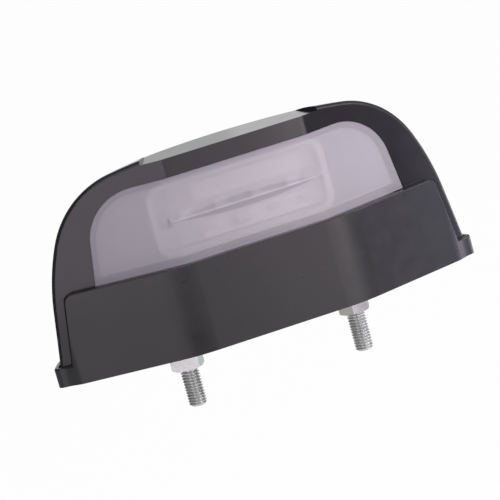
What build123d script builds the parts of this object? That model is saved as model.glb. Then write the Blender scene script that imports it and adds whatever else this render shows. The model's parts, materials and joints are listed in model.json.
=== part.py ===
from build123d import *
from math import asin, cos, degrees, radians, sin, sqrt, tan
import os

# Number plate lamp for two studs. X runs along the lamp, the lens looks towards -Y and Z is up.
# The origin is on the mounting face, midway between the studs. Sizes are in millimetres and degrees.

# Base and front panel
stud_spacing = 48.0
stud_to_front = 19.4
stud_to_back = 22.0
body_length = 118.9
facet_angle = 19.0
panel_flat = 45.9
panel_bend = 30.0
panel_height = 23.8
panel_wall = 1.8
panel_inset = 4.05
panel_corner = 2.2
panel_top_round = 0.2
panel_top_land = 0.15
panel_top_fall = 0.55
front_draft = 8.5
floor_thickness = 3.0
rim_height = 5.2
rim_wall = 1.2
rim_round = 0.5
ear_length = 3.0
ear_setback = 1.0
ear_slope = 2.8
ear_bend = 4.5
ear_corner = 1.8
side_radius = 50.0
side_lean = 14.0
back_corner = 6.0
land_width = 4.5
core_depth = 1.5

# Hood
hood_gap = 0.2
panel_gap = 0.36
hood_wall = 2.0
hood_front_wall = 2.0
hood_setback = 1.8
facet_spread = 1.0
hood_bend = 5.5
least_bend = 0.5
side_draft = 9.5
side_straight = 18.75
shoulder_radius = 60.0
shoulder_turn = 16.5
crown_radius = 25.1
crown_turn = 54.9
roof_radius = 62.0
hood_edge_round = 1.0
recess_length = 52.4
recess_drop = 2.7
recess_taper = 18.5
band_width = 11.6
top_band = 4.9
opening_corner = 14.0

# Lens and its gasket
lens_gap = 0.12
lens_sunk = 0.25
lens_wall = 1.8
lens_flange = 1.6
lens_lip = 2.2
lens_foot = 18.0
gasket_thickness = 0.8
ridge_length = 42.0
ridge_height = 0.6
ridge_half_width = 1.85
ridge_level = 35.4

# Studs and nuts, M5
thread_major = 5.0
thread_pitch = 0.8
stud_below = 17.4
stud_point = 0.6
stud_hole = 5.4
head_flats = 8.0
head_height = 3.5
head_gap = 0.1
head_boss_wall = 2.2
nut_flats = 8.0
nut_height = 4.0
nut_drops = (3.0, 2.5)
nut_bevel = 30.0
nut_face = 7.6
nut_turns = (1.0, 11.0)
nut_mouth = 0.3
mesh_gap = 0.02

# Fixing screws
hood_screw_inset = 16.45
hood_screw_y = 8.0
screw_shank = 3.0
screw_head = 5.6
screw_head_height = 1.8
screw_grip = 3.0
screw_bite = 8.0
screw_hole_gap = 0.2
pillar_height = 4.0
pillar_wall = 1.4
boss_wall = 2.0

# Cable inlet
inlet_y = 11.0
inlet_bore = 4.8
inlet_hole = 8.6
inlet_lip = 1.6
inlet_lip_height = 1.2
inlet_gap = 0.1

# Light unit behind the lens
tray_setback = 13.8
tray_length = 46.0
tray_height = 17.0
tray_level = 34.5
tray_wall = 1.6
tray_depth = 4.4
tray_corner = 3.0
foot_length = 9.0
foot_reach = 7.0
foot_x = 12.0
foot_thickness = 2.0
foot_boss = 3.0
board_gap = 0.4
board_thickness = 1.2
led_count = 4
led_pitch = 10.0
led_length = 3.5
led_width = 2.8
led_height = 0.9
chip_length = 4.0
chip_width = 3.2
chip_height = 1.4
small_length = 3.2
small_width = 1.6
small_height = 0.6
diode_height = 1.1
part_row_drop = 5.0
part_row_pitch = 9.0
small_screw = 2.0
small_head = 3.6
small_head_height = 1.2
small_screw_bite = 2.4
small_screw_inset = 3.0
rib_thickness = 1.6
rib_reach = 8.0
rib_pitch = 24.0
rib_count = 4

# Values that follow from the ones above
slope = tan(radians(facet_angle))
lean = tan(radians(side_draft))
front_lean = tan(radians(front_draft))
half_length = body_length / 2
half_flat = panel_flat / 2
hood_inset = rim_wall + hood_gap
hood_half = half_length - hood_inset
hood_back = stud_to_back - hood_inset
hood_front = hood_setback - stud_to_front
hood_angle = facet_angle - facet_spread
hood_slope = tan(radians(hood_angle))
hood_screw_x = half_length - hood_screw_inset
panel_foot = half_length - panel_inset
stud_x = stud_spacing / 2
pitch_radius = thread_major / 2 - 0.325 * thread_pitch
last_turn = 90.0 - side_draft - shoulder_turn - crown_turn
far = 4 * body_length


def facet_y(x, step):
    """Depth of the slanted facet at x, moved back by step across the facet."""
    return -stud_to_front + (x - half_flat) * slope + step / cos(radians(facet_angle))


def flat_half(half, angle, step):
    """Half width of a flat middle between two facets, after all three move back by step."""
    return half - step * tan(radians(angle / 2))


ear_y = facet_y(half_length, ear_setback)
side_centre = half_length - side_radius * cos(radians(side_lean))
side_y = ear_y - side_radius * sin(radians(side_lean))
hood_half_flat = panel_foot - (facet_y(panel_foot, panel_wall + panel_gap) - hood_front) / hood_slope


def side_x(y, inset):
    """Half width of the plan at y, moved in by inset from the base's outline."""
    reach = max(y - side_y, 0.0)
    return side_centre + sqrt((side_radius - inset) ** 2 - reach**2)


def facet_end(inset, step):
    """Depth where the facet moved back by step meets the side moved in by inset."""
    y = ear_y
    for _ in range(5):
        y = facet_y(side_x(y, inset), step)
    return y


def roof_drop(y):
    """How far the roof has fallen at y, behind the front."""
    reach = max(y + stud_to_front, 0.0)
    return roof_radius - sqrt(roof_radius**2 - reach**2)


def vertices_at(sketch, x, y):
    """The vertices at x and minus x, at depth y."""
    return [v for v in sketch.vertices() if abs(abs(v.X) - x) < 0.01 and abs(v.Y - y) < 0.01]


def behind_front(half, angle, front, bend):
    """Plan region behind a front with a flat middle at depth front and a facet to each side."""
    with BuildSketch() as region:
        with BuildLine():
            Polyline(
                (0, front),
                (half, front),
                (far, front + (far - half) * tan(radians(angle))),
                (far, 2 * far),
                (0, 2 * far),
            )
            mirror(about=Plane.YZ)
        make_face()
        fillet(vertices_at(region, half, front), radius=bend)
    return region.sketch


def base_outline():
    """Plan of the base: front facets, stepped ears, round sides and a straight back."""
    slope_end = half_length - ear_length
    slope_start = slope_end - ear_slope
    turn = degrees(asin((stud_to_back - side_y) / side_radius)) - side_lean
    with BuildSketch() as outline:
        with BuildLine():
            Polyline(
                (0, -stud_to_front),
                (half_flat, -stud_to_front),
                (slope_start, facet_y(slope_start, 0)),
                (slope_end, facet_y(slope_end, ear_setback)),
                (half_length, ear_y),
            )
            side = CenterArc((side_centre, side_y), side_radius, side_lean, turn)
            Line(side @ 1, (0, stud_to_back))
            mirror(about=Plane.YZ)
        make_face()
        fillet(vertices_at(outline, half_flat, -stud_to_front), radius=panel_bend)
        fillet(vertices_at(outline, slope_start, facet_y(slope_start, 0)), radius=ear_bend)
        fillet(vertices_at(outline, slope_end, facet_y(slope_end, ear_setback)), radius=ear_bend)
        fillet(vertices_at(outline, half_length, ear_y), radius=ear_corner)
        fillet(vertices_at(outline, (side @ 1).X, stud_to_back), radius=back_corner)
    return outline.sketch


def inner_plan(front_wall, rest_wall):
    """Plan of the space inside walls of the given thickness, at the front and all round the rest."""
    front = front_wall - stud_to_front
    back = stud_to_back - rest_wall
    inner = side_radius - rest_wall
    first = degrees(asin((facet_end(rest_wall, front_wall) - side_y) / inner))
    last = degrees(asin((back - side_y) / inner))
    with BuildSketch() as plan:
        with BuildLine():
            side = CenterArc((side_centre, side_y), inner, first, last - first)
            Polyline((0, front), (flat_half(half_flat, facet_angle, front_wall), front), side @ 0)
            Line(side @ 1, (0, back))
            mirror(about=Plane.YZ)
        make_face()
        fillet(vertices_at(plan, (side @ 1).X, back), radius=max(back_corner - rest_wall, least_bend))
    return plan.sketch


def hood_form(grow):
    """Closed form of the hood, moved out by grow, before its front is cut to the facets."""
    steps = 5
    stations = [-stud_to_front - hood_wall]
    stations += [(hood_back + stud_to_front) * k / steps - stud_to_front for k in range(steps + 1)]
    with BuildPart() as form:
        for y in stations:
            half = side_x(y, hood_inset) + grow / cos(radians(side_draft))
            rise = side_straight - roof_drop(y)
            with BuildSketch(Plane.XZ.offset(-y)):
                with BuildLine():
                    foot = (half, floor_thickness)
                    wall = Line(foot, (half - rise * lean, floor_thickness + rise))
                    shoulder = JernArc(wall @ 1, wall % 1, shoulder_radius + grow, shoulder_turn)
                    crown = JernArc(shoulder @ 1, shoulder % 1, crown_radius + grow, crown_turn)
                    top_radius = (crown @ 1).X / sin(radians(last_turn))
                    JernArc(crown @ 1, crown % 1, top_radius, last_turn)
                    Line(foot, (0, floor_thickness))
                    mirror(about=Plane.YZ)
                make_face()
        loft()
    return form.part


def front_panel():
    """Raised panel that grows out of the rim between the ears."""
    top_end = panel_foot - panel_height * front_lean
    with BuildPart() as panel:
        with BuildSketch():
            add(base_outline())
            add(inner_plan(panel_wall, rim_wall), mode=Mode.SUBTRACT)
        extrude(amount=panel_height)
        with BuildSketch(Plane.XZ.offset(-ear_y)) as ends:
            with BuildLine():
                Polyline((0, 0), (panel_foot, 0), (top_end, panel_height), (0, panel_height))
                mirror(about=Plane.YZ)
            make_face()
            fillet(ends.vertices().group_by(Axis.Y)[-1], radius=panel_corner)
        extrude(amount=far, mode=Mode.INTERSECT)
        top = panel.faces().sort_by(Axis.Z)[-1]
        rear = top.edges().filter_by(Axis.X).sort_by(Axis.Y)[-1]
        slope_width = panel_wall - panel_top_round - panel_top_land
        chamfer(rear, length=slope_width, length2=panel_top_fall, reference=top)
        fillet(panel.faces().sort_by(Axis.Z)[-1].edges().sort_by(Axis.Y)[0], radius=panel_top_round)
    return panel.part


def opening(grow, bottom):
    """Outline of the lens opening seen from the front, moved out by grow and cut off at bottom."""
    top = recess_level - top_band + grow
    foot = hood_half - band_width + grow / cos(radians(front_draft))
    with BuildSketch() as outline:
        with BuildLine():
            Polyline(
                (0, bottom),
                (foot - (bottom - floor_thickness) * front_lean, bottom),
                (foot - (top - floor_thickness) * front_lean, top),
                (0, top),
            )
            mirror(about=Plane.YZ)
        make_face()
        fillet(outline.vertices().group_by(Axis.Y)[-1], radius=opening_corner + grow)
    return outline.sketch


def hood_region(step):
    """Plan region behind the hood's front, moved back by step."""
    half = flat_half(hood_half_flat, hood_angle, step)
    return behind_front(half, hood_angle, hood_front + step, max(hood_bend - step, least_bend))


def faceted_plate(outline, near, back):
    """Plate that follows the hood's front, between two steps behind it."""
    with BuildPart() as plate:
        with BuildSketch():
            add(hood_region(near))
            add(hood_region(back), mode=Mode.SUBTRACT)
        extrude(amount=far)
        with BuildSketch(Plane.XZ):
            add(outline)
        extrude(amount=far, both=True, mode=Mode.INTERSECT)
    return plate.part


hood_outside = hood_form(0)
recess_level = hood_outside.bounding_box().max.Z - recess_drop


def roof_recess(grow):
    """Block that sinks a level recess into the roof, narrower towards the back."""
    front = -stud_to_front - hood_wall
    draw_in = (hood_back - front) * tan(radians(recess_taper))
    half = recess_length / 2 + grow / cos(radians(recess_taper))
    with BuildPart() as block:
        with BuildSketch(Plane.XY.offset(recess_level - grow)):
            with BuildLine():
                Polyline((0, front), (half, front), (half - draw_in, hood_back), (0, hood_back))
                mirror(about=Plane.YZ)
            make_face()
        extrude(amount=far)
    return block.part


hood_screw_places = [(-hood_screw_x, hood_screw_y), (hood_screw_x, hood_screw_y)]
stud_places = [(-stud_x, 0), (stud_x, 0)]
tray_y = tray_setback - stud_to_front
foot_y = tray_y + (tray_wall + foot_reach) / 2
foot_places = [(-foot_x, foot_y), (foot_x, foot_y)]
foot_level = floor_thickness + foot_boss
pillar_top = floor_thickness + pillar_height
pillar_radius = screw_head / 2 + screw_hole_gap + pillar_wall
head_boss_radius = head_flats / sqrt(3) + head_boss_wall

# Base: tray with a low rim, the raised panel, bosses inside and a cored underside
with BuildPart() as base:
    with BuildSketch():
        add(base_outline())
    extrude(amount=rim_height)
    fillet(base.faces().sort_by(Axis.Z)[-1].edges(), radius=rim_round)
    with BuildSketch(Plane.XY.offset(floor_thickness)):
        add(inner_plan(panel_wall, rim_wall))
    extrude(amount=rim_height, mode=Mode.SUBTRACT)
    add(front_panel())
    with BuildSketch():
        add(inner_plan(land_width, land_width))
        with Locations(*stud_places):
            Circle(head_boss_radius, mode=Mode.SUBTRACT)
        with Locations(*hood_screw_places):
            Circle(pillar_radius, mode=Mode.SUBTRACT)
    extrude(amount=core_depth, mode=Mode.SUBTRACT)
    with BuildSketch(Plane.XY.offset(floor_thickness)):
        with Locations(*stud_places):
            Circle(head_boss_radius)
            RegularPolygon(head_flats / 2 + head_gap, 6, major_radius=False, mode=Mode.SUBTRACT)
    extrude(amount=head_height)
    with BuildSketch(Plane.XY.offset(floor_thickness)):
        with Locations(*hood_screw_places):
            Circle(pillar_radius)
    extrude(amount=pillar_height)
    with BuildSketch(Plane.XY.offset(floor_thickness)):
        with Locations(*foot_places):
            Circle(small_screw / 2 + boss_wall)
    extrude(amount=foot_boss)
    with BuildSketch(Plane.XY.offset(foot_level)):
        with Locations(*foot_places):
            Circle(small_screw / 2 + mesh_gap)
    extrude(amount=-small_screw_bite - screw_hole_gap, mode=Mode.SUBTRACT)
    with BuildSketch():
        with Locations(*stud_places):
            Circle(stud_hole / 2)
        with Locations(*hood_screw_places):
            Circle(screw_shank / 2 + screw_hole_gap)
        with Locations((0, inlet_y)):
            Circle(inlet_hole / 2)
    extrude(amount=far, mode=Mode.SUBTRACT)
    with BuildSketch():
        with Locations(*hood_screw_places):
            Circle(screw_head / 2 + screw_hole_gap)
    extrude(amount=pillar_top - screw_grip, mode=Mode.SUBTRACT)
    for k in range(rib_count):
        rib_x = (k - (rib_count - 1) / 2) * rib_pitch
        rib_y = facet_y(max(abs(rib_x), flat_half(half_flat, facet_angle, panel_wall)), panel_wall)
        with BuildSketch(Plane.YZ.offset(rib_x)):
            with BuildLine():
                Polyline(
                    (rib_y - panel_wall / 2, floor_thickness - core_depth / 2),
                    (rib_y + rib_reach, floor_thickness - core_depth / 2),
                    (rib_y + rib_reach / 2, lens_foot),
                    (rib_y - panel_wall / 2, lens_foot),
                    close=True,
                )
            make_face()
        extrude(amount=rib_thickness / 2, both=True)

# Hood: arched shell, its front cut to three facets, with the lens opening and the recess on its roof
with BuildPart() as cavity:
    add(hood_form(-hood_wall))
    with BuildSketch():
        add(hood_region(hood_front_wall))
    extrude(amount=far, mode=Mode.INTERSECT)
    split(bisect_by=Plane.XZ.offset(hood_wall - hood_back), keep=Keep.TOP)
    add(roof_recess(hood_wall), mode=Mode.SUBTRACT)
    with BuildSketch(Plane.XY.offset(pillar_top)):
        with Locations(*hood_screw_places):
            Circle(screw_shank / 2 + boss_wall)
    extrude(amount=far, mode=Mode.SUBTRACT)

with BuildPart() as hood:
    add(hood_outside)
    with BuildSketch():
        add(hood_region(0))
    extrude(amount=far, mode=Mode.INTERSECT)
    front_faces = hood.faces().filter_by(lambda f: f.normal_at().Y < -cos(radians(hood_angle + 1)))
    rim = ShapeList([e for f in front_faces for e in f.edges() if e.center().Z > rim_height])
    fillet(rim.filter_by(Axis.Z, reverse=True), radius=hood_edge_round)
    back_face = hood.faces().sort_by(Axis.Y)[-1]
    fillet(back_face.edges().filter_by(lambda e: e.center().Z > rim_height), radius=back_corner - hood_inset)
    add(roof_recess(0), mode=Mode.SUBTRACT)
    add(cavity.part, mode=Mode.SUBTRACT)
    opening_reach = hood_half - band_width - hood_half_flat
    opening_back = hood_front + 2 * hood_front_wall + opening_reach * hood_slope
    with BuildSketch(Plane.XZ.offset(-opening_back)):
        add(opening(0, 0))
    extrude(amount=far, mode=Mode.SUBTRACT)
    with BuildSketch(Plane.XY.offset(pillar_top)):
        with Locations(*hood_screw_places):
            Circle(screw_shank / 2 + mesh_gap)
    extrude(amount=screw_bite + boss_wall, mode=Mode.SUBTRACT)

# Lens: thin raised window on a flange behind the hood's front, with a long pointed ridge on its face
flange_front = hood_front_wall + gasket_thickness
flange_back = flange_front + lens_flange
window_foot = panel_height + lens_gap
lens_face = hood_front + lens_sunk
with BuildPart() as lens:
    add(faceted_plate(opening(lens_lip, lens_foot), flange_front, flange_back))
    add(faceted_plate(opening(-lens_gap, window_foot), lens_sunk, flange_front))
    hollow = opening(-lens_gap - lens_wall, window_foot + lens_wall)
    add(faceted_plate(hollow, lens_sunk + lens_wall, flange_back), mode=Mode.SUBTRACT)
    for way in (1, -1):
        with BuildSketch(Plane.XY.offset(ridge_level)) as blade:
            with BuildLine():
                crest = ThreePointArc(
                    (-ridge_length / 2, lens_face),
                    (0, lens_face - ridge_height),
                    (ridge_length / 2, lens_face),
                )
                Polyline(
                    crest @ 1,
                    (ridge_length / 2, lens_face + lens_wall / 3),
                    (-ridge_length / 2, lens_face + lens_wall / 3),
                    crest @ 0,
                )
            make_face()
        extrude(
            blade.sketch,
            amount=sqrt(ridge_height**2 + ridge_half_width**2),
            dir=(0, ridge_height, way * ridge_half_width),
        )

with BuildPart() as lens_gasket:
    with BuildSketch(mode=Mode.PRIVATE) as seal:
        add(opening(lens_lip, lens_foot))
        add(opening(0, 0), mode=Mode.SUBTRACT)
    add(faceted_plate(seal.sketch, hood_front_wall, flange_front))

# Carrier: tray behind the lens on two legs, screwed to the base
board_y = tray_y - board_thickness
board_screw_x = tray_length / 2 - small_screw_inset
board_screw_places = [(-board_screw_x, tray_level), (board_screw_x, tray_level)]
with BuildPart() as led_carrier:
    with BuildSketch(Plane.XZ.offset(-tray_y)):
        with Locations((0, tray_level)):
            RectangleRounded(tray_length + 2 * tray_wall, tray_height + 2 * tray_wall, tray_corner + tray_wall)
            RectangleRounded(tray_length, tray_height, tray_corner, mode=Mode.SUBTRACT)
    extrude(amount=tray_depth)
    with BuildSketch(Plane.XZ.offset(-tray_y)):
        with Locations((0, tray_level)):
            RectangleRounded(tray_length + 2 * tray_wall, tray_height + 2 * tray_wall, tray_corner + tray_wall)
        with Locations((-foot_x, foot_level), (foot_x, foot_level)):
            Rectangle(foot_length, tray_level - foot_level, align=(Align.CENTER, Align.MIN))
        with Locations(*board_screw_places):
            Circle(small_screw / 2 + mesh_gap, mode=Mode.SUBTRACT)
    extrude(amount=-tray_wall)
    with BuildSketch(Plane.XY.offset(foot_level)):
        with Locations(*foot_places):
            Rectangle(foot_length, tray_wall + foot_reach)
            Circle(small_screw / 2 + screw_hole_gap, mode=Mode.SUBTRACT)
    extrude(amount=foot_thickness)

with BuildPart() as led_board:
    with BuildSketch(Plane.XZ.offset(-board_y)):
        with Locations((0, tray_level)):
            RectangleRounded(tray_length - 2 * board_gap, tray_height - 2 * board_gap, tray_corner - board_gap)
        with Locations(*board_screw_places):
            Circle(small_screw / 2 + screw_hole_gap, mode=Mode.SUBTRACT)
    extrude(amount=-board_thickness)

# Rubber inlet for the cable
with BuildPart() as cable_grommet:
    for level, height, radius in (
        (core_depth - inlet_lip_height, inlet_lip_height, inlet_hole / 2 + inlet_lip),
        (core_depth, floor_thickness - core_depth, inlet_hole / 2 - inlet_gap),
        (floor_thickness, inlet_lip_height, inlet_hole / 2 + inlet_lip),
    ):
        with BuildSketch(Plane.XY.offset(level)):
            with Locations((0, inlet_y)):
                Circle(radius)
                Circle(inlet_bore / 2, mode=Mode.SUBTRACT)
        extrude(amount=height)


def on_board(x, z, length, width, height):
    """Block soldered to the front of the board."""
    with BuildPart() as block:
        with BuildSketch(Plane.XZ.offset(-board_y)):
            with Locations((x, z)):
                Rectangle(length, width)
        extrude(amount=height)
        chamfer(block.faces().sort_by(Axis.Y)[0].edges(), length=height / 5)
    return block


def screw(seat, shank, length, head, head_height):
    """Screw with a bevelled head on the seat, a straight slot, and its shank behind the seat."""
    with BuildPart(seat) as fixing:
        Cylinder(shank / 2, length, align=(Align.CENTER, Align.CENTER, Align.MAX))
        Cylinder(head / 2, head_height, align=(Align.CENTER, Align.CENTER, Align.MIN))
        along = Axis(seat.origin, seat.z_dir)
        chamfer(fixing.faces().sort_by(along)[-1].edges(), length=head_height / 3)
        with Locations((0, 0, head_height)):
            Box(head, head_height / 3, head_height, mode=Mode.SUBTRACT)
    return fixing


def stud(x, drop):
    """Hexagon headed stud, at its pitch radius where it passes the base and meshes with its nut."""
    with BuildPart() as rod:
        with BuildSketch(Plane.XY.offset(floor_thickness)):
            with Locations((x, 0)):
                RegularPolygon(head_flats / 2, 6, major_radius=False)
        extrude(amount=head_height)
        with BuildSketch(Plane.XY.offset(floor_thickness)):
            with Locations((x, 0)):
                Circle(pitch_radius)
        extrude(amount=stud_point - stud_below - floor_thickness)
        for top, bottom in ((0, drop), (drop + nut_height, stud_below)):
            with BuildSketch(Plane.XY.offset(-top)):
                with Locations((x, 0)):
                    Circle(thread_major / 2)
            extrude(amount=top - bottom)
        chamfer(rod.faces().sort_by(Axis.Z)[0].edges(), length=stud_point)
    return rod


def nut(x, turn, drop):
    """Hexagon nut with both faces bevelled, its top below the base by a drop."""
    corner = nut_flats / sqrt(3)
    bevel = (corner - nut_face / 2) * tan(radians(nut_bevel))
    with BuildPart() as block:
        with BuildSketch(Plane.XZ):
            with BuildLine():
                Polyline(
                    (x, -drop),
                    (x + nut_face / 2, -drop),
                    (x + corner, -drop - bevel),
                    (x + corner, bevel - nut_height - drop),
                    (x + nut_face / 2, -nut_height - drop),
                    (x, -nut_height - drop),
                    close=True,
                )
            make_face()
        revolve(axis=Axis((x, 0, 0), (0, 0, 1)))
        with BuildSketch(Plane.XY.offset(-drop)):
            with Locations((x, 0)):
                RegularPolygon(nut_flats / 2, 6, major_radius=False, rotation=turn)
                Circle(pitch_radius + mesh_gap, mode=Mode.SUBTRACT)
        extrude(amount=-nut_height, mode=Mode.INTERSECT)
        mouths = block.edges().filter_by(GeomType.CIRCLE).filter_by(lambda e: e.radius < thread_major / 2)
        chamfer(mouths, length=nut_mouth)
    return block


pieces = {
    "base": base,
    "hood": hood,
    "lens": lens,
    "lens_gasket": lens_gasket,
    "led_carrier": led_carrier,
    "led_board": led_board,
    "cable_grommet": cable_grommet,
}
for k in range(led_count):
    led_x = (k - (led_count - 1) / 2) * led_pitch
    pieces[f"led_{k + 1}"] = on_board(led_x, tray_level, led_length, led_width, led_height)
row_level = tray_level - part_row_drop
pieces["resistor_1"] = on_board(-part_row_pitch, row_level, small_length, small_width, small_height)
pieces["resistor_2"] = on_board(part_row_pitch, row_level, small_length, small_width, small_height)
pieces["diode"] = on_board(2 * part_row_pitch, row_level, small_length, small_width, diode_height)
pieces["driver_chip"] = on_board(0, row_level, chip_length, chip_width, chip_height)
for k, side in enumerate(("left", "right")):
    x, y = hood_screw_places[k]
    seat = Plane((x, y, pillar_top - screw_grip), z_dir=(0, 0, -1))
    length = screw_grip + screw_bite
    pieces[f"hood_screw_{side}"] = screw(seat, screw_shank, length, screw_head, screw_head_height)
    x, y = foot_places[k]
    seat = Plane((x, y, foot_level + foot_thickness))
    length = foot_thickness + small_screw_bite
    pieces[f"carrier_screw_{side}"] = screw(seat, small_screw, length, small_head, small_head_height)
    x, z = board_screw_places[k]
    seat = Plane((x, board_y, z), z_dir=(0, -1, 0))
    length = board_thickness + tray_wall
    pieces[f"board_screw_{side}"] = screw(seat, small_screw, length, small_head, small_head_height)
    pieces[f"stud_{side}"] = stud(stud_places[k][0], nut_drops[k])
    pieces[f"nut_{side}"] = nut(stud_places[k][0], nut_turns[k], nut_drops[k])

os.makedirs("parts", exist_ok=True)
for name, piece in pieces.items():
    piece.part.label = name
    export_step(piece.part, f"parts/{name}.step")
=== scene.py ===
import json
from math import cos, pi, radians, sin

import bmesh
import bpy
from mathutils import Matrix, Vector


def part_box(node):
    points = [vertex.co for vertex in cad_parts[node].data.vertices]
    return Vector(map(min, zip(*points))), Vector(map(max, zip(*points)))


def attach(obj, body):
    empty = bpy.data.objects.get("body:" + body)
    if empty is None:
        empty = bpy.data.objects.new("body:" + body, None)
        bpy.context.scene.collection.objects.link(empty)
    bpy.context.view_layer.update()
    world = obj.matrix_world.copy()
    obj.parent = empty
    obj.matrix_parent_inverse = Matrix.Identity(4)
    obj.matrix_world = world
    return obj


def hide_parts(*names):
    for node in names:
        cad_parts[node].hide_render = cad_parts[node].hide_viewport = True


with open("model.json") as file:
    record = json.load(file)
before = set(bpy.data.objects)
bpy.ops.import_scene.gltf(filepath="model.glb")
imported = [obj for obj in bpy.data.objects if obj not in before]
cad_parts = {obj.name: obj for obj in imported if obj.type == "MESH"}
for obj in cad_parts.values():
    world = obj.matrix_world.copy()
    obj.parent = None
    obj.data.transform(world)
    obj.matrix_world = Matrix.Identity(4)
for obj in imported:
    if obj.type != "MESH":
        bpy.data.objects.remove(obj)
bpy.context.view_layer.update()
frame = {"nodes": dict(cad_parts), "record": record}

# Lengths are in metres in the frame of the part, apart from those said to be in millimetres
MM = 0.001
scene = bpy.context.scene
scene.view_settings.view_transform = "Standard"
nodes = frame["nodes"]
STUD_X = sum(corner.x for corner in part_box("stud_right")) / 2


# Helpers for node trees
def new_material(name):
    """A new material with one shader; returns the material, its tree and the shader."""
    made = bpy.data.materials.new(name)
    made.use_nodes = True
    tree = made.node_tree
    return made, tree, tree.nodes["Principled BSDF"]


def node(tree, kind, **values):
    """Adds a node; names with a capital are sockets and the others are settings."""
    made = tree.nodes.new(kind)
    for key, value in values.items():
        if key[0].isupper():
            made.inputs[key.replace("_", " ")].default_value = value
        else:
            setattr(made, key, value)
    return made


def place(tree, stretch=(1, 1, 1)):
    """The point on the surface, in the frame of the part, stretched if asked."""
    mapped = node(tree, "ShaderNodeMapping", Scale=stretch)
    tree.links.new(node(tree, "ShaderNodeTexCoord").outputs["Object"], mapped.inputs["Vector"])
    return mapped.outputs["Vector"]


def axes_of(tree, vector):
    """The three parts of a vector, by the names of their axes."""
    made = node(tree, "ShaderNodeSeparateXYZ")
    tree.links.new(vector, made.inputs["Vector"])
    return made.outputs


def noise(tree, scale, detail=2.0):
    """Noise of a given scale per metre."""
    made = node(tree, "ShaderNodeTexNoise", Scale=scale, Detail=detail)
    tree.links.new(place(tree), made.inputs["Vector"])
    return made.outputs["Fac"]


def ramp(tree, value, *stops):
    """Colours along a value; each stop is a place and a grey or a colour."""
    made = node(tree, "ShaderNodeValToRGB")
    band = made.color_ramp.elements
    while len(band) < len(stops):
        band.new(0.5)
    for element, (at, colour) in zip(band, stops):
        element.position = at
        element.color = (*colour, 1) if isinstance(colour, tuple) else (colour, colour, colour, 1)
    tree.links.new(value, made.inputs["Fac"])
    return made.outputs["Color"]


def mottle(tree, pattern, low, high):
    """Two greys or two colours that run into each other along a noise."""
    return ramp(tree, pattern, (0.3, low), (0.7, high))


def distance(tree, value, middle):
    """How far a value lies from a middle, to either side."""
    away = node(tree, "ShaderNodeMath", operation="SUBTRACT")
    away.inputs[1].default_value = middle
    tree.links.new(value, away.inputs[0])
    size = node(tree, "ShaderNodeMath", operation="ABSOLUTE")
    tree.links.new(away.outputs["Value"], size.inputs[0])
    return size.outputs["Value"]


def mix(tree, share, first, second, **settings):
    """Colour that goes from the first to the second with a share, which is a socket or a number."""
    made = node(tree, "ShaderNodeMix", data_type="RGBA", **settings)
    for key, value in (("Factor", share), ("A", first), ("B", second)):
        if isinstance(value, bpy.types.NodeSocket):
            tree.links.new(value, made.inputs[key])
        else:
            made.inputs[key].default_value = value
    return made.outputs["Result"]


def bump(tree, pattern, height, strength, edge=None):
    """Surface relief of a height from a noise, over edges softened by a radius if asked."""
    made = node(tree, "ShaderNodeBump", Distance=height, Strength=strength)
    tree.links.new(pattern, made.inputs["Height"])
    if edge:
        soft = node(tree, "ShaderNodeBevel", samples=4, Radius=edge)
        tree.links.new(soft.outputs["Normal"], made.inputs["Normal"])
    return made.outputs["Normal"]


# Black plastic
PLASTIC_DARK, PLASTIC_PALE = (0.0205, 0.0185, 0.0220), (0.0250, 0.0228, 0.0268)
GRAIN_HEIGHT, GRAIN_STRENGTH = 0.000002, 0.3
PLASTIC_EDGE = 0.00006


def black_plastic(name, smooth, rough):
    """Satin black moulding with a mauve cast, a fine grain, clouded gloss and softened edges."""
    made, tree, shader = new_material(name)
    link = tree.links.new
    cloud = noise(tree, 70.0, 3.0)
    gloss = noise(tree, 240.0, 4.0)
    grain = noise(tree, 3200.0)
    link(mottle(tree, cloud, PLASTIC_DARK, PLASTIC_PALE), shader.inputs["Base Color"])
    link(mottle(tree, gloss, smooth, rough), shader.inputs["Roughness"])
    link(bump(tree, grain, GRAIN_HEIGHT, GRAIN_STRENGTH, PLASTIC_EDGE), shader.inputs["Normal"])
    return made


# Lens
LENS_CURVE, LENS_FRONT = 0.14, -0.85
LENS_ALPHA, LENS_IOR = 0.44, 1.49
LENS_SMOOTH, LENS_ROUGH = 0.28, 0.34
HAZE_DARK, HAZE_PALE = (0.62, 0.57, 0.66), (0.66, 0.60, 0.69)
RIDGE_Z, RIDGE_HALF, RIDGE_REACH = 0.0354, 0.00185, 0.021
# Colours of the ridge: a painted highlight on its crest and painted shade on its flanks
RIDGE_CREST_HIGHLIGHT, RIDGE_FLANK_SHADE = (0.78, 0.74, 0.80), (0.47, 0.43, 0.51)


def rounded_front(tree):
    """Normal of the lens with the bends of its front spread out evenly along its length."""
    link = tree.links.new
    normal = node(tree, "ShaderNodeNewGeometry").outputs["Normal"]
    parts = axes_of(tree, normal)
    turn = node(tree, "ShaderNodeMath", operation="DIVIDE")
    turn.inputs[1].default_value = LENS_CURVE
    link(axes_of(tree, place(tree))["X"], turn.inputs[0])
    spread = node(tree, "ShaderNodeCombineXYZ")
    for axis, value in (("X", turn.outputs["Value"]), ("Y", parts["Y"]), ("Z", parts["Z"])):
        link(value, spread.inputs[axis])
    even = node(tree, "ShaderNodeVectorMath", operation="NORMALIZE")
    link(spread.outputs["Vector"], even.inputs[0])
    front = node(tree, "ShaderNodeMath", operation="LESS_THAN")
    front.inputs[1].default_value = LENS_FRONT
    link(parts["Y"], front.inputs[0])
    blend = node(tree, "ShaderNodeMix", data_type="VECTOR")
    link(front.outputs["Value"], blend.inputs["Factor"])
    link(normal, blend.inputs["A"])
    link(even.outputs["Vector"], blend.inputs["B"])
    return blend.outputs["Result"]


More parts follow.
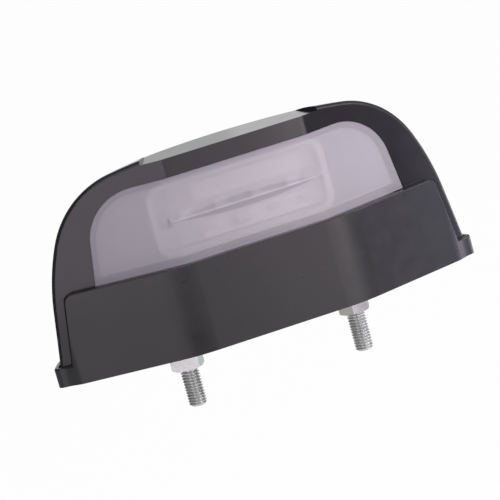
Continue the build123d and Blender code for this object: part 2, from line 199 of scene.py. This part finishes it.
def ridge_painted_light(tree):
    """Share and colour of the pointed ridge across the lens: a painted highlight on the crest between two
    flanks of painted shade.
    """
    axes = axes_of(tree, place(tree, (1 / RIDGE_REACH, 1, 1 / RIDGE_HALF)))
    off = distance(tree, axes["Z"], RIDGE_Z / RIDGE_HALF)
    taper = node(tree, "ShaderNodeMath", operation="MULTIPLY_ADD")
    for socket, value in zip(taper.inputs, (axes["X"], axes["X"], off)):
        tree.links.new(value, socket)
    share = ramp(tree, taper.outputs["Value"], (0.85, 0.9), (1.0, 0.0))
    colour = ramp(tree, off, (0.05, RIDGE_CREST_HIGHLIGHT), (0.18, RIDGE_FLANK_SHADE))
    return share, colour


def opal_lens():
    """Hazy lens plastic that lets the light unit behind it show dimly."""
    made, tree, shader = new_material("opal_lens")
    link = tree.links.new
    haze = mottle(tree, noise(tree, 25.0), HAZE_DARK, HAZE_PALE)
    # The ridge's colour is painted light: a highlight on the crest and shade on the flanks
    share, colour = ridge_painted_light(tree)
    link(mix(tree, share, haze, colour), shader.inputs["Base Color"])
    link(mottle(tree, noise(tree, 300.0), LENS_SMOOTH, LENS_ROUGH), shader.inputs["Roughness"])
    relief = bump(tree, noise(tree, 2500.0), GRAIN_HEIGHT, GRAIN_STRENGTH)
    link(rounded_front(tree), relief.node.inputs["Normal"])
    link(relief, shader.inputs["Normal"])
    shader.inputs["Alpha"].default_value = LENS_ALPHA
    shader.inputs["IOR"].default_value = LENS_IOR
    return made


# Small parts
PART_RELIEF, METAL_RELIEF, RELIEF_STRENGTH = 0.00001, 0.000002, 0.5
PART_EDGE = 0.00008


def plain(name, low, high, rough, scale=250.0, metal=0.0, relief=PART_RELIEF):
    """Moulded or metal surface with a mottled tint, mottled gloss and a slight relief."""
    made, tree, shader = new_material(name)
    link = tree.links.new
    link(mottle(tree, noise(tree, scale, 3.0), low, high), shader.inputs["Base Color"])
    link(mottle(tree, noise(tree, 2.5 * scale), 0.8 * rough, 1.2 * rough), shader.inputs["Roughness"])
    grain = noise(tree, 4.0 * scale)
    link(bump(tree, grain, relief, RELIEF_STRENGTH, PART_EDGE), shader.inputs["Normal"])
    shader.inputs["Metallic"].default_value = metal
    return made


def steel(name, low, high, rough):
    """Bright metal with a fine mottle."""
    return plain(name, low, high, rough, 300.0, 1.0, METAL_RELIEF)


# Circuit board
FIELD_SOFT = 0.0006
FIELD_X, FIELD_HALF_X = 0.0049, 0.0160
ROW_Z, FIELD_OFF_ROW, FIELD_HALF_Z = 0.0339, 0.0053, 0.0021
FIELD_COLOUR = (0.95, 0.80, 0.84, 1)


def field(tree, value, middle, half):
    """1 where a value lies within half of a middle, falling off softly to 0."""
    outer = half + FIELD_SOFT
    edge = node(tree, "ShaderNodeMapRange", interpolation_type="SMOOTHSTEP", From_Min=outer, From_Max=half)
    tree.links.new(distance(tree, value, middle), edge.inputs["Value"])
    return edge.outputs["Result"]


def lit_board():
    """White circuit board with two brighter fields, above and below its row of lamps."""
    made = plain("circuit_board", (0.46, 0.42, 0.43), (0.52, 0.47, 0.48), 0.35)
    tree = made.node_tree
    colour = tree.nodes["Principled BSDF"].inputs["Base Color"]
    axes = axes_of(tree, place(tree))
    both = node(tree, "ShaderNodeMath", operation="MULTIPLY")
    tree.links.new(field(tree, axes["X"], FIELD_X, FIELD_HALF_X), both.inputs[0])
    off_row = distance(tree, axes["Z"], ROW_Z)
    tree.links.new(field(tree, off_row, FIELD_OFF_ROW, FIELD_HALF_Z), both.inputs[1])
    tree.links.new(mix(tree, both.outputs["Value"], colour.links[0].from_socket, FIELD_COLOUR), colour)
    return made


# Thread, with its lengths in millimetres
THREAD_R, PITCH, POINT, HEAD = 2.5, 0.8, 0.6, 3.5
DEPTH = 0.61 * PITCH
PITCH_R = THREAD_R - 0.325 * PITCH
CREST_SHARE, FLANK_SHARE = 0.125, 0.625
SHADE_FROM_R, SHADE_TO_R, ROOT_SHADE = 2.02, 2.46, 0.60
AROUND, STEP = 56, 0.0667


def threaded_steel():
    """Bright steel of the two studs, with painted shade darkening it in the roots of the thread."""
    made = steel("threaded_steel", (0.66, 0.67, 0.66), (0.74, 0.75, 0.74), 0.30)
    tree = made.node_tree
    link = tree.links.new
    colour = tree.nodes["Principled BSDF"].inputs["Base Color"]
    axes = axes_of(tree, place(tree))
    flat = node(tree, "ShaderNodeCombineXYZ")
    link(distance(tree, distance(tree, axes["X"], 0.0), STUD_X), flat.inputs["X"])
    link(axes["Y"], flat.inputs["Y"])
    radius = node(tree, "ShaderNodeVectorMath", operation="LENGTH")
    link(flat.outputs["Vector"], radius.inputs[0])
    # Painted shade: darker towards the roots of the thread
    depth = node(tree, "ShaderNodeMapRange", To_Min=ROOT_SHADE, To_Max=1.0)
    depth.inputs["From Min"].default_value = SHADE_FROM_R * MM
    depth.inputs["From Max"].default_value = SHADE_TO_R * MM
    link(radius.outputs["Value"], depth.inputs["Value"])
    metal = colour.links[0].from_socket
    link(mix(tree, 1.0, metal, depth.outputs["Result"], blend_type="MULTIPLY"), colour)
    return made


# Finish of each slot, with a rougher base and duller screws
finish = {
    "black_plastic": black_plastic("black_plastic", 0.13, 0.18),
    "opal_lens": opal_lens(),
    "black_rubber": plain("black_rubber", (0.015, 0.015, 0.015), (0.028, 0.028, 0.028), 0.75),
    "white_plastic": plain("white_plastic", (0.62, 0.55, 0.56), (0.70, 0.62, 0.63), 0.4),
    "circuit_board": lit_board(),
    "led_lens": plain("led_lens", (0.80, 0.76, 0.67), (0.86, 0.82, 0.75), 0.25),
    "chip_ceramic": plain("chip_ceramic", (0.66, 0.58, 0.60), (0.74, 0.65, 0.67), 0.5),
    "zinc_steel": steel("zinc_steel", (0.68, 0.66, 0.68), (0.76, 0.74, 0.76), 0.15),
}
base_finish = black_plastic("base_plastic", 0.27, 0.33)
screw_finish = plain("dull_zinc", (0.42, 0.40, 0.41), (0.50, 0.48, 0.49), 0.55, 400.0, 0.6)
thread_finish = threaded_steel()
slots = {row["node"]: row["material_slot"] for row in frame["record"]["subparts"]}
for name, piece in nodes.items():
    look = finish[slots[name]]
    if name == "base":
        look = base_finish
    elif "screw" in name:
        look = screw_finish
    for holder in piece.material_slots:
        holder.material = look


# Threaded studs
def thread_radius(z, turn, nut_low, nut_high, end):
    """Radius of the stud at a height and an angle: thread, but plain in the base and in the nut."""
    phase = (z / PITCH + turn / (2 * pi)) % 1.0
    off_crest = abs(phase - 0.5) * 2.0
    cut = min(max((off_crest - CREST_SHARE) / FLANK_SHARE, 0.0), 1.0)
    radius = PITCH_R if z > 0 or nut_low < z < nut_high else THREAD_R - DEPTH * cut
    return min(radius, THREAD_R - max(end + POINT - z, 0.0))


def stud_mesh(name):
    """Stud with a real helical thread and its hexagon head, in the place of the CAD stud."""
    low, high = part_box(name)
    x = (low.x + high.x) / 2 / MM
    end, top = low.z / MM, high.z / MM
    under = top - HEAD
    nut_low, nut_high = (v.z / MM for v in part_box(name.replace("stud", "nut")))
    form = bmesh.new()

    def ring(count, z, radius):
        """A ring of points at a height."""
        spots = [(2 * pi * i / count, radius(2 * pi * i / count)) for i in range(count)]
        return [form.verts.new(((x + r * cos(t)) * MM, r * sin(t) * MM, z * MM)) for t, r in spots]

    def skin(upper, lower, smooth):
        """Faces between two rings."""
        for i in range(len(upper)):
            j = (i + 1) % len(upper)
            form.faces.new((upper[i], lower[i], lower[j], upper[j])).smooth = smooth

    count = round((under - end) / STEP)
    heights = [under - (under - end) * k / count for k in range(count + 1)]
    rows = [ring(AROUND, z, lambda t, z=z: thread_radius(z, t, nut_low, nut_high, end)) for z in heights]
    for upper, lower in zip(rows, rows[1:]):
        skin(upper, lower, True)
    form.faces.new(rows[0])
    form.faces.new(rows[-1])
    corner = (high.x - low.x) / 2 / MM
    head = [ring(6, z, lambda t: corner) for z in (top, under)]
    skin(*head, False)
    for cap in head:
        form.faces.new(cap)
    bmesh.ops.recalc_face_normals(form, faces=form.faces)
    data = bpy.data.meshes.new(name + "_thread")
    form.to_mesh(data)
    form.free()
    made = bpy.data.objects.new(name + "_thread", data)
    scene.collection.objects.link(made)
    data.materials.append(thread_finish)
    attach(made, "root")
    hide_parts(name)


for name in ("stud_left", "stud_right"):
    stud_mesh(name)


# White background for what is seen, directly or in gloss and glass; plain light for the rest
FLOOR_Z, FLOOR_R = -0.10, 4.0
FLOOR_GREY, FLOOR_ROUGH, FLOOR_GLOW = 0.86, 0.9, 0.97
SKY_LIGHT = 0.42


def background_rays(tree):
    """1 for camera, glossy and transmission rays, 0 for the others."""
    rays = node(tree, "ShaderNodeLightPath").outputs
    value = rays["Is Camera Ray"]
    for kind in ("Is Glossy Ray", "Is Transmission Ray"):
        either = node(tree, "ShaderNodeMath", operation="MAXIMUM")
        tree.links.new(value, either.inputs[0])
        tree.links.new(rays[kind], either.inputs[1])
        value = either.outputs["Value"]
    return value


def stage_mesh(name, form, material):
    """Object of the set, outside the part."""
    data = bpy.data.meshes.new(name)
    form.to_mesh(data)
    form.free()
    data.materials.append(material)
    made = bpy.data.objects.new(name, data)
    scene.collection.objects.link(made)
    return made


def disc(radius, segments):
    """Level disc round the origin."""
    form = bmesh.new()
    bmesh.ops.create_circle(form, cap_ends=True, segments=segments, radius=radius)
    return form


def lay_floor():
    """Pale floor, nearly white to the rays that show the background, and clear from below."""
    made, tree, shader = new_material("floor")
    link = tree.links.new
    shader.inputs["Roughness"].default_value = FLOOR_ROUGH
    shader.inputs["Base Color"].default_value = (FLOOR_GREY, FLOOR_GREY, FLOOR_GREY, 1)
    share = node(tree, "ShaderNodeMath", operation="MULTIPLY")
    share.inputs[1].default_value = FLOOR_GLOW
    link(background_rays(tree), share.inputs[0])
    blend = node(tree, "ShaderNodeMixShader")
    link(share.outputs["Value"], blend.inputs["Fac"])
    link(shader.outputs["BSDF"], blend.inputs[1])
    glow = node(tree, "ShaderNodeEmission", Color=(1, 1, 1, 1), Strength=1.0)
    link(glow.outputs["Emission"], blend.inputs[2])
    clear = node(tree, "ShaderNodeMixShader")
    link(node(tree, "ShaderNodeNewGeometry").outputs["Backfacing"], clear.inputs["Fac"])
    link(blend.outputs["Shader"], clear.inputs[1])
    link(node(tree, "ShaderNodeBsdfTransparent").outputs["BSDF"], clear.inputs[2])
    link(clear.outputs["Shader"], tree.nodes["Material Output"].inputs["Surface"])
    stage_mesh("floor", disc(FLOOR_R, 96), made).location.z = FLOOR_Z


def light_world():
    """Even sky, white to the rays that show the background and dimmer as a light."""
    world = bpy.data.worlds.new("studio")
    scene.world = world
    world.use_nodes = True
    tree = world.node_tree
    tree.nodes.clear()
    dim, white = (SKY_LIGHT, SKY_LIGHT, SKY_LIGHT, 1), (1, 1, 1, 1)
    sky = node(tree, "ShaderNodeBackground", Strength=1.0)
    tree.links.new(mix(tree, background_rays(tree), dim, white), sky.inputs["Color"])
    tree.links.new(sky.outputs["Background"], node(tree, "ShaderNodeOutputWorld").inputs["Surface"])


lay_floor()
light_world()


# Studio cards that only gloss meets: dark flags and pale strips, upright round the part
CARD_TURN = 6
TOP_Z, TOP_R = 0.5, 0.45


def gloss_only(name, form, level):
    """Piece of the set with an even glow that only glossy rays meet."""
    made, tree, shader = new_material(name)
    tree.nodes.remove(shader)
    light = node(tree, "ShaderNodeEmission", Color=(*level, 1), Strength=1.0)
    tree.links.new(light.outputs["Emission"], tree.nodes["Material Output"].inputs["Surface"])
    made.cycles.emission_sampling = "NONE"
    piece = stage_mesh(name, form, made)
    piece.visible_camera = piece.visible_diffuse = piece.visible_transmission = piece.visible_shadow = False
    return piece


def card(name, middle, reach, first, last, low, high, level):
    """Card at a reach from a middle in plan, from one azimuth to another and from low to high.

    Azimuths are in degrees, from the front towards the right.
    """
    form = bmesh.new()
    count = max(round((last - first) / CARD_TURN), 1)
    columns = []
    for k in range(count + 1):
        turn = radians(first + (last - first) * k / count)
        spot = (middle[0] + reach * sin(turn), middle[1] - reach * cos(turn))
        columns.append([form.verts.new((*spot, z)) for z in (low, high)])
    for a, b in zip(columns, columns[1:]):
        form.faces.new((a[0], b[0], b[1], a[1]))
    gloss_only(name, form, level)


# Front, for the middle of the panel and of the hood
card("fill_front", (0, -0.019), 0.50, -36, 44, -0.35, 0.10, (1.15, 0.98, 1.08))
card("flag_bend", (-0.020, -0.019), 0.20, -20, 8, -0.09, -0.010, (0.0, 0.0, 0.0))
card("strip_left", (-0.040, -0.013), 0.25, -43, 7, -0.035, 0.10, (1.80, 1.60, 1.78))
card("flag_crease", (-0.017, -0.018), 0.22, 2, 8, -0.03, 0.08, (0.05, 0.05, 0.05))
for first, last, level in ((12, 17, 1.6), (17, 22, 2.3), (22, 34, 2.9)):
    tint = (level, 0.9 * level, 0.96 * level)
    card(f"strip_front_{first}", (0.017, -0.019), 0.40, first, last, -0.30, 0.04, tint)
card("strip_bend", (0.0105, -0.018), 0.22, 13.5, 34, 0.0, 0.08, (2.6, 2.35, 2.5))
# Sides and back
card("flag_right", (0.040, -0.013), 0.25, 34, 55, -0.09, 0.06, (0.0, 0.0, 0.03))
card("fill_right", (0.040, -0.013), 0.25, 57, 78, -0.09, 0.06, (1.3, 1.3, 1.8))
card("strip_right", (0.055, -0.010), 0.40, 82, 112, -0.20, -0.04, (4.4, 4.0, 4.8))
card("flag_left", (-0.055, 0.0), 0.40, -175, -43, -0.30, 0.50, (0.12, 0.12, 0.13))
card("flag_high", (0, 0), 0.45, 30, 140, 0.07, 0.50, (0.15, 0.15, 0.17))
card("strip_back", (0, 0), 0.60, 140, 168, 0.10, 0.26, (1.12, 1.12, 1.12))
card("fill_back", (0, 0), 0.60, 168, 184, 0.10, 0.26, (0.86, 0.87, 0.87))
# Facets of the nuts, below the base
card("flag_nut_left", (-STUD_X, 0), 0.05, 118, 150, -0.035, -0.006, (0.62, 0.70, 0.65))
card("flag_nut_right", (STUD_X, 0), 0.03, -105, -65, -0.025, -0.003, (0.45, 0.46, 0.43))
card("flag_nut_back", (STUD_X, 0), 0.04, 138, 170, -0.030, -0.004, (0.50, 0.52, 0.50))
# Above
gloss_only("flag_top", disc(TOP_R, 48), (0.25, 0.25, 0.26)).location.z = TOP_Z


# Lamp
KEY_AT, KEY_AIM = Vector((0.62, -0.42, 0.30)), Vector((0, 0, 0.02))
KEY_SIZE, KEY_POWER = 0.4, 6.2

lamp = bpy.data.lights.new("key", "AREA")
lamp.size = KEY_SIZE
lamp.energy = KEY_POWER
lamp.specular_factor = 0.0
key = bpy.data.objects.new("key", lamp)
key.location = KEY_AT
key.rotation_euler = (KEY_AIM - KEY_AT).to_track_quat("-Z", "Y").to_euler()
key.visible_camera = False
scene.collection.objects.link(key)

# Camera: angles in radians, its distance and its shift in the picture's plane in millimetres
AZIMUTH, ELEVATION, ROLL = -0.1973, 0.2091, 0.2700
FOCAL_PX, DISTANCE, SHIFT_X, SHIFT_Y = 2474.5, 663.38, 4.2492, 17.5978
SENSOR, IMAGE_PX, NEAREST = 36.0, 500.0, 0.01

right = Vector((cos(AZIMUTH), sin(AZIMUTH), 0))
back = Vector((sin(AZIMUTH) * cos(ELEVATION), -cos(AZIMUTH) * cos(ELEVATION), sin(ELEVATION)))
up = back.cross(right)
cam_x = cos(ROLL) * right - sin(ROLL) * up
cam_y = sin(ROLL) * right + cos(ROLL) * up
spot = (SHIFT_Y * cam_y - SHIFT_X * cam_x + DISTANCE * back) * MM
optics = bpy.data.cameras.new("camera")
optics.sensor_width = SENSOR
optics.lens = FOCAL_PX * SENSOR / IMAGE_PX
optics.clip_start = NEAREST
camera = bpy.data.objects.new("camera", optics)
camera.matrix_world = Matrix((
    (cam_x.x, cam_y.x, back.x, spot.x),
    (cam_x.y, cam_y.y, back.y, spot.y),
    (cam_x.z, cam_y.z, back.z, spot.z),
    (0, 0, 0, 1),
))
scene.collection.objects.link(camera)
scene.camera = camera
